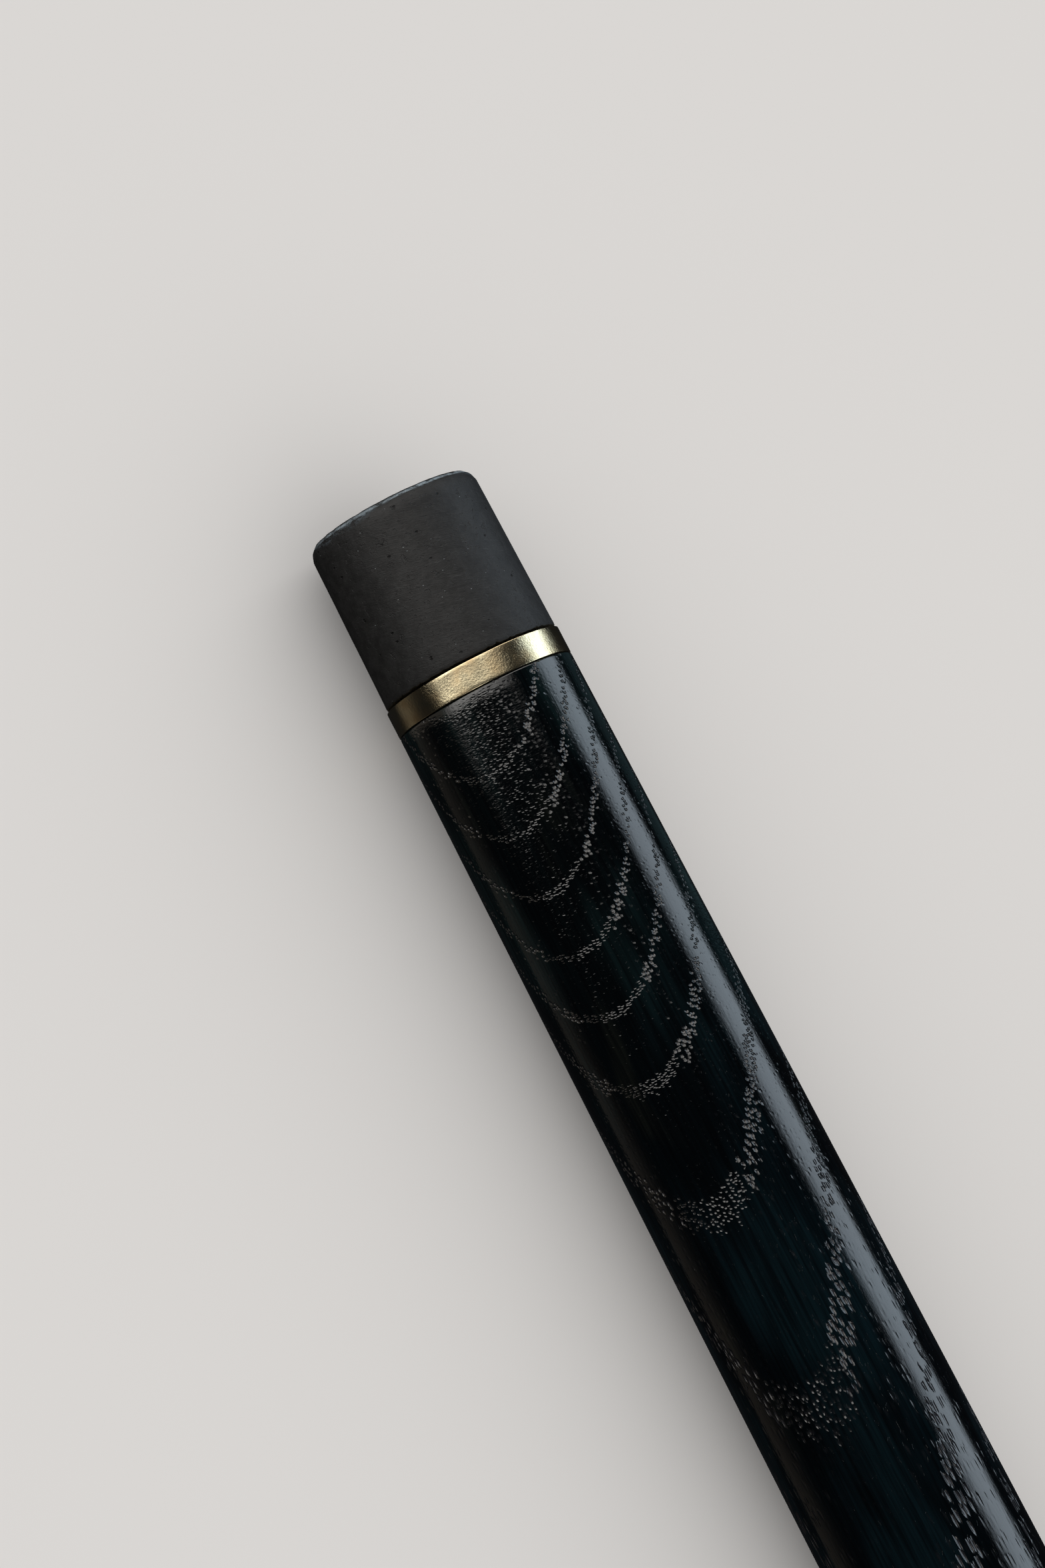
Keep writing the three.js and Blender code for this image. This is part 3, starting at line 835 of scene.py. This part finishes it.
scuff_noise = g.noise(g.vector("MULTIPLY", here["Place"], (2.0, 0.9, 0.9)), detail=6.0, roughness=0.8)
scuff_reach = g.math("MULTIPLY_ADD", g.noise(here["Place"], scale=0.16, detail=1.0), 2.6, -0.3)
near_edge = g.step(here["Above Ground"], g.math("MULTIPLY", scuff_reach, 0.5), scuff_reach, 1.0, 0.0)
scuffed = g.math("MULTIPLY", near_edge, g.step(scuff_noise, 0.44, 0.62))
scuffed = g.math("MULTIPLY", scuffed, g.step(here["Above Ground"], 0.0, 0.25, 0.5, 1.0))
body = g.colour(g.math("MULTIPLY", scuffed, 0.8), body, SCUFF)
# The pale line at the crown of the bevel is partly wear and partly a painted highlight of that rounded
# edge.
off_edge = g.math("ABSOLUTE", g.math("SUBTRACT", here["Above Ground"], WEAR_AND_HIGHLIGHT_PLACE))
wear_and_highlight_line = g.math("MULTIPLY", g.step(off_edge, 0.05, 0.22, 1.0, 0.0), g.step(scuff_noise, 0.36, 0.60))
body = g.colour(g.math("MULTIPLY", wear_and_highlight_line, 0.9), body, EDGE_WEAR_AND_HIGHLIGHT)
g.fill(shader.inputs["Base Color"], body)
print("Scuffed edge ready")

# %% Finish: rubber, its relief
RUBBER_RELIEF = 0.05 * MM
LUMP_HEIGHT = 1.3
GRAIN_HEIGHT = 0.75
CRUMB_DEPTH = 0.9
NICK_DEPTH = 2.5

g.fill(shader.inputs["Roughness"], g.mix(rub["Marks"], 0.50, 0.62))
both_rubs = g.math("MULTIPLY_ADD", rub["Marks"], 0.45, g.math("MULTIPLY", long_rub["Marks"], 0.4))
relief = g.math("MULTIPLY_ADD", both_rubs, on_wall, g.math("MULTIPLY", grain_size, GRAIN_HEIGHT))
relief = g.math("MULTIPLY_ADD", lumps, LUMP_HEIGHT, relief)
crumbs = g.step(g.noise(here["Place"], scale=1.5, detail=3.0, roughness=0.6), 0.60, 0.68)
relief = g.math("SUBTRACT", relief, g.math("MULTIPLY", crumbs, CRUMB_DEPTH))
relief = g.math("SUBTRACT", relief, g.math("MULTIPLY", nick, NICK_DEPTH))
relief = g.math("ADD", relief, g.math("MULTIPLY", scuffed, scuff_noise))
g.fill(shader.inputs["Normal"], g.add("ShaderNodeBump", {
    "Height": relief, "Strength": 1.0, "Distance": RUBBER_RELIEF}))
shader.inputs["Specular IOR Level"].default_value = 0.4
print("Rubber ready")

# %% [markdown]
# The stud and the washer are shut in, and a plain turned steel is enough for them.

# %% Finish: steel
STEEL_DULL = (0.42, 0.43, 0.44, 1)
STEEL_BRIGHT = (0.55, 0.56, 0.57, 1)

steel, g, shader = new_finish("plain steel")
here = g.group("place on the cane")
marks = g.group("turning marks", {"Above Ground": here["Above Ground"], "Around": here["Around"],
                                  "Pitch": 0.1, "Length": 4.0})["Marks"]
g.fill(shader.inputs["Base Color"], g.colour(marks, STEEL_DULL, STEEL_BRIGHT))
g.fill(shader.inputs["Roughness"], g.mix(marks, 0.3, 0.5))
g.fill(shader.inputs["Normal"], g.add("ShaderNodeBump", {
    "Height": marks, "Strength": 0.6, "Distance": 0.02 * MM}))
shader.inputs["Metallic"].default_value = 1.0
print("Steel ready")

# %% [markdown]
# ## A lathe
#
# All pieces but the handle are turned. One way to model them is a profile curve with a Screw modifier.
# Spinning the profile in code is as short, and it lets every vertex be moved a little by noise, so
# that no surface is perfectly round. Corners are rounded first, because a sharp edge catches no light.

# %% Profile helpers
def rounded(profile, corner, size, steps=5):
    """The profile with one corner, given by its index, replaced by an arc that starts size before it."""
    before, turning, after = (Vector(profile[(corner + k) % len(profile)]) for k in (-1, 0, 1))
    start = turning + (before - turning).normalized() * size
    end = turning + (after - turning).normalized() * size
    arc = []
    for step in range(steps + 1):
        t = step / steps
        arc.append(tuple((1 - t) ** 2 * start + 2 * t * (1 - t) * turning + t * t * end))
    return profile[:corner] + arc + profile[corner + 1:]


def stations(start, end, step):
    """Places from start to end, both kept, about step apart."""
    count = max(1, round(abs(end - start) / step))
    return [start + (end - start) * k / count for k in range(count + 1)]


print("Stations from 0 to 1 in steps of about 0.4:", stations(0, 1, 0.4))

# %% Lathe
SMOOTH_BELOW = math.radians(38)


def still(place_mm, radius_mm, angle):
    """No unevenness at all."""
    return Vector((0, 0))


def turn_piece(name, profile, sides, uneven=still, closed=False):
    """Spins (place, radius) pairs in millimetres about the cane's axis into a smooth mesh object."""
    made = bmesh.new()
    rings = []
    for place_mm, radius_mm in profile:
        if radius_mm == 0:
            rings.append([made.verts.new(cane_axes @ Vector((place_mm * MM, 0, 0)))])
            continue
        ring = []
        for side in range(sides):
            angle = 2 * math.pi * side / sides
            moved = Vector((place_mm, radius_mm)) + uneven(place_mm, radius_mm, angle)
            spot = Vector((moved[0], moved[1] * math.sin(angle), moved[1] * math.cos(angle)))
            ring.append(made.verts.new(cane_axes @ (spot * MM)))
        rings.append(ring)
    following_rings = rings[1:] + rings[:1] if closed else rings[1:]
    for low, high in zip(rings, following_rings):
        for side in range(sides):
            following = (side + 1) % sides
            corners = (low[side % len(low)], low[following % len(low)],
                       high[following % len(high)], high[side % len(high)])
            made.faces.new(list(dict.fromkeys(corners)))
    bmesh.ops.recalc_face_normals(made, faces=made.faces)
    mesh = bpy.data.meshes.new(name)
    made.to_mesh(mesh)
    made.free()
    mesh.shade_smooth()
    mesh.set_sharp_from_angle(angle=SMOOTH_BELOW)
    return new_mesh_object(name, mesh)


print("Lathe ready")

# %% Unevenness and dressing
RIPPLE_GIRTH = 11


def ripple(place_mm, angle, size, seed):
    """Smooth noise on the cane's surface, from -1 to 1, with features of the given size."""
    reach = RIPPLE_GIRTH / size
    return noise.noise(Vector((place_mm / size + seed, math.sin(angle) * reach, math.cos(angle) * reach)))


def dress(piece, finish, body, node):
    """Gives a piece its finish and its body, and lets it stand for the CAD node that it replaces."""
    piece.data.materials.clear()
    piece.data.materials.append(finish)
    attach(piece, body)
    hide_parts(node)
    print(piece.name, "has", len(piece.data.vertices), "points")


print("A ripple on the cane, for example:", round(ripple(0, 0, 2.2, 2.0), 3))

# %% [markdown]
# ## Shaft
#
# The CAD gives the shaft's radius at some twenty places. A curve through them makes a slow taper
# without kinks, which a mirror-like lacquer would show. The surface is sanded by hand, so it wanders
# by a few hundredths of a millimetre, and this bends the edges of the light's long reflection. The
# spigot below, the tenon above and the bore for the stud stay as they are in the CAD.

# %% Shaft: a smooth curve and the sanding
SANDED_OFF = 0.02
SANDING_SIZE = 9.0


def through(points, place_mm):
    """Radius at a place on a smooth curve through (place, radius) points."""
    above = next((k for k, point in enumerate(points) if point[0] > place_mm), len(points) - 1)
    first = max(0, min(len(points) - 4, above - 2))
    p0, p1, p2, p3 = points[first:first + 4]
    if place_mm < p1[0]:
        return p0[1] + (p1[1] - p0[1]) * (place_mm - p0[0]) / (p1[0] - p0[0])
    if place_mm > p2[0]:
        return p2[1] + (p3[1] - p2[1]) * (place_mm - p2[0]) / (p3[0] - p2[0])
    run = p2[0] - p1[0]
    t = (place_mm - p1[0]) / run
    slope1 = (p2[1] - p0[1]) / (p2[0] - p0[0]) * run
    slope2 = (p3[1] - p1[1]) / (p3[0] - p1[0]) * run
    return ((2 * t**3 - 3 * t**2 + 1) * p1[1] + (t**3 - 2 * t**2 + t) * slope1
            + (3 * t**2 - 2 * t**3) * p2[1] + (t**3 - t**2) * slope2)


def sanded(place_mm, radius_mm, angle):
    """Hand sanding moved the outer wood a little inwards."""
    if radius_mm < spigot_radius + 1 or place_mm > shaft_top:
        return Vector((0, 0))
    slow = ripple(place_mm * 0.2, angle, SANDING_SIZE, 3.0)
    return Vector((0, SANDED_OFF * slow - SANDED_OFF))


print("Sanding takes off at most", 2 * SANDED_OFF, "mm")

# %% Shaft: its profile from the CAD
CLOSE_LOOK_TILL = 125
CLOSE_STEP, WIDE_STEP = 1.5, 6
SHOULDER_ROUND = 0.22

spigot_radius = shaft_rings[1][1]
taper = [ring for ring in shaft_rings if ring[1] > spigot_radius + 1 and ring[0] < collar_foot]
shoulder, shaft_top = taper[0][0], taper[-1][0]
taper = taper[1:-1]
wall_places = stations(taper[0][0], CLOSE_LOOK_TILL, CLOSE_STEP)[:-1]
wall_places += stations(CLOSE_LOOK_TILL, taper[-1][0], WIDE_STEP)
wall = [(place, through(taper, place)) for place in wall_places]
tenon = [ring for ring in shaft_rings if ring[0] > shaft_top]
bore_floor, bore_radius = next(ring for ring in shaft_rings if ring[1] < spigot_radius - 1)
shaft_profile = [(shaft_rings[0][0], 0), *shaft_rings[:2], (shoulder, spigot_radius)]
shaft_profile += [(shoulder, wall[0][1]), *wall[1:-1], (shaft_top, wall[-1][1])]
shaft_profile += [(shaft_top, tenon[0][1]), *tenon, (tenon[-1][0], bore_radius)]
shaft_profile += [(bore_floor, bore_radius), (bore_floor, 0)]
shaft_profile = rounded(shaft_profile, shaft_profile.index((shaft_top, wall[-1][1])), SHOULDER_ROUND)
shaft_profile = rounded(shaft_profile, shaft_profile.index((shoulder, wall[0][1])), SHOULDER_ROUND)
print("The shaft's profile has", len(shaft_profile), "corners")

# %% Shaft
SHAFT_SIDES = 144

shaft = turn_piece("turned_shaft", shaft_profile, SHAFT_SIDES, sanded)
dress(shaft, shaft_ash, "cane", "shaft")
shaft_only.objects.link(shaft)

# %% [markdown]
# ## Rubber tip
#
# A moulded cap with a blind socket. Its wall is nearly straight, and its ground edge is bevelled and
# worn: noise bites small chips from the bevel. The mouth was trimmed with a knife, so its rim wanders
# a little, which gives the dark gap under the ring its ragged look. Three sizes of noise add up to the
# rim's wandering, and only what leads away from the ring is kept, so the rim never reaches the ring.

# %% Rubber tip: sizes from the CAD
tip_rings = outline_of("rubber_tip")
mouth_place, (socket_radius, _) = tip_rings[-1]
wall_top_place, (wall_top_radius,) = tip_rings[-2]
floor_place = tip_rings[-3][0]
bevel_top, (bevel_radius,) = tip_rings[-4]
tread_depth, (tread_inner, tread_outer) = tip_rings[-5]
crown_place, crown_radii = tip_rings[1]
face_radius = tip_rings[0][1][-1]
print("The cap is", mouth_place, "mm long, and its ground face", 2 * face_radius, "mm across")

# %% Rubber tip: its wear
CHIP_DEPTH = 0.08
CHIP_SIZE = 1.3
WALL_WAVE = 0.015
RIM_WANDER = 0.26
RIM_NOISES = ((1.0, 0.45, 6.0), (0.7, 1.1, 8.0), (0.5, 3.0, 4.0))


def worn(place_mm, radius_mm, angle):
    """Chips in the ground edge, a wandering rim at the mouth and a faint wave in the wall."""
    if radius_mm < face_radius - 0.5:
        return Vector((0, 0))
    if place_mm > wall_top_place - 0.1:
        bite = sum(share * ripple(0, angle, size, seed) for share, size, seed in RIM_NOISES)
        return Vector((RIM_WANDER * min(0, bite), 0))
    edge = max(0, 1 - place_mm / (bevel_top * 1.5))
    chip = max(0, ripple(place_mm, angle, CHIP_SIZE, 1.0)) * CHIP_DEPTH * edge
    wave = WALL_WAVE * ripple(place_mm, angle, 4.0, 5.0) - WALL_WAVE
    return Vector((chip * 0.6 if place_mm < 0.6 else 0, wave - chip))


print("Chips of up to", CHIP_DEPTH, "mm in the ground edge")

# %% Rubber tip
RUBBER_SIDES = 224
CROWN_ROUND = 0.25

bevel = [(0, face_radius), (crown_place, crown_radii[-1]), (bevel_top, bevel_radius)]
bevel_arc = rounded(bevel, 1, CROWN_ROUND, 6)
wall = [(place, bevel_radius + (wall_top_radius - bevel_radius) * (place - bevel_top)
         / (wall_top_place - bevel_top)) for place in stations(bevel_top, wall_top_place, 0.6)]
mouth = [(mouth_place - 0.10, wall_top_radius - 0.02), (mouth_place, wall_top_radius - 0.09),
         (mouth_place, socket_radius)]
rubber_profile = [(0, 0), (0, tread_inner), (tread_depth, tread_inner), (tread_depth, tread_outer),
                  (0, tread_outer), *bevel_arc[:-1], *wall, *mouth,
                  (floor_place, socket_radius), (floor_place, 0)]
rubber_cap = turn_piece("rubber_cap", rubber_profile, RUBBER_SIDES, worn)
dress(rubber_cap, rubber, "tip", "rubber_tip")

# %% [markdown]
# ## Ring and collar
#
# Both are bands cut from brass tube, with rounded edges. A perfectly round band would show one even
# highlight, and shallow dents a few millimetres wide break it up, as on thin pressed brass.

# %% Ring and collar
BAND_SIDES = 224
RING_WIDER_BY, RING_EDGE_ROUND = 0.2, 0.10
COLLAR_EDGE_ROUND = 0.35
DENT_DEPTH = 0.015
DENT_SIZE = 2.2


def dented(place_mm, radius_mm, angle):
    """Shallow dents, only ever inwards."""
    return Vector((0, DENT_DEPTH * ripple(place_mm, angle, DENT_SIZE, 2.0) - DENT_DEPTH))


def turn_band(name, node, wider_by, edge_round):
    """A brass band between the ends of its CAD solid, made wider at its top by a little."""
    rings_now = outline_of(node)
    foot, top = rings_now[0][0], rings_now[-1][0] + wider_by
    inner, outer = rings_now[0][1][0], rings_now[1][1][-1]
    profile = [(foot, inner), (foot, outer), *[(place, outer) for place in stations(foot, top, 0.4)[1:-1]],
               (top, outer), (top, inner)]
    profile = rounded(profile, len(profile) - 2, edge_round)
    profile = rounded(profile, 1, edge_round)
    return turn_piece(name, profile, BAND_SIDES, dented, closed=True)


brass_ring = turn_band("brass_ring", "tip_ring", RING_WIDER_BY, RING_EDGE_ROUND)
dress(brass_ring, brass, "cane", "tip_ring")
brass_collar = turn_band("brass_collar", "handle_collar", 0.0, COLLAR_EDGE_ROUND)
dress(brass_collar, brass, "cane", "handle_collar")

# %% [markdown]
# ## Handle
#
# The derby handle is carved from one block, so its neck flows into the grip. The CAD joins two forms
# with a hard crease. A voxel remesh turns its surface into even small squares, and many rounds of
# smoothing melt the crease and the flat sides into one carved surface, as sandpaper would. The foot is
# held back from the smoothing and then trued to a circle, because it must meet the collar.

# %% Handle: where its foot is
handle_node = frame["nodes"]["handle"]
handle_corners = [(to_cane @ vertex.co) / MM for vertex in handle_node.data.vertices]
handle_foot = min(spot.x for spot in handle_corners)
foot_radius = max(math.hypot(spot.y, spot.z) for spot in handle_corners if spot.x < handle_foot + 0.01)
print("The handle's foot is", round(handle_foot, 1), "mm up, radius", round(foot_radius, 2), "mm")

# %% Handle: carve it in even squares
CARVING_VOXEL = 0.9 * MM


def modified(piece):
    """A new mesh with the piece's modifiers applied."""
    bpy.context.view_layer.update()
    seen = piece.evaluated_get(bpy.context.evaluated_depsgraph_get())
    return bpy.data.meshes.new_from_object(seen)


rough = new_mesh_object("carving", handle_node.data.copy())
remesh = rough.modifiers.new("even squares", "REMESH")
remesh.mode = "VOXEL"
remesh.voxel_size = CARVING_VOXEL
carved = new_mesh_object("carved_handle", modified(rough))
bpy.data.objects.remove(rough)
print("The carving has", len(carved.data.polygons), "faces")

# %% Handle: sand all but its foot
SANDING_ROUNDS = 24
FOOT_HELD = 2.0
FOOT_FREE = 9.0

loose = carved.vertex_groups.new(name="free to move")
for vertex in carved.data.vertices:
    height = (to_cane @ vertex.co).x / MM - handle_foot
    loose.add([vertex.index], min(1, max(0, (height - FOOT_HELD) / (FOOT_FREE - FOOT_HELD))), "REPLACE")
sanding = carved.modifiers.new("sanding", "SMOOTH")
sanding.factor = 0.5
sanding.iterations = SANDING_ROUNDS
sanding.vertex_group = loose.name
smooth_mesh = modified(carved)
carved.modifiers.clear()
carved.data = smooth_mesh
print("Sanded in", SANDING_ROUNDS, "rounds")

# %% Handle: true its foot to a circle
BORE_RADIUS = 6.3
FOOT_TRUED = 0.4
CARVED_SMOOTH_BELOW = math.radians(50)

for vertex in smooth_mesh.vertices:
    spot = (to_cane @ vertex.co) / MM
    girth = math.hypot(spot.y, spot.z)
    if spot.x < handle_foot + FOOT_HELD and girth > (foot_radius + BORE_RADIUS) / 2:
        pull = 1 if spot.x < handle_foot + FOOT_TRUED else 1 - (spot.x - handle_foot) / FOOT_HELD
        stretch = 1 + pull * (foot_radius / girth - 1)
        vertex.co = cane_axes @ (Vector((spot.x, spot.y * stretch, spot.z * stretch)) * MM)
smooth_mesh.shade_smooth()
smooth_mesh.set_sharp_from_angle(angle=CARVED_SMOOTH_BELOW)
dress(carved, handle_ash, "cane", "handle")

# %% [markdown]
# ## Pieces inside
#
# The washer, the stud and the insert are right as the CAD has them and are hidden in the finished
# cane, so their nodes stay and only get their finishes.

# %% Pieces inside
for node, finish in (("tip_washer", steel), ("handle_stud", steel), ("handle_insert", brass)):
    for slot in frame["nodes"][node].material_slots:
        slot.material = finish
    print(node, "has its finish")
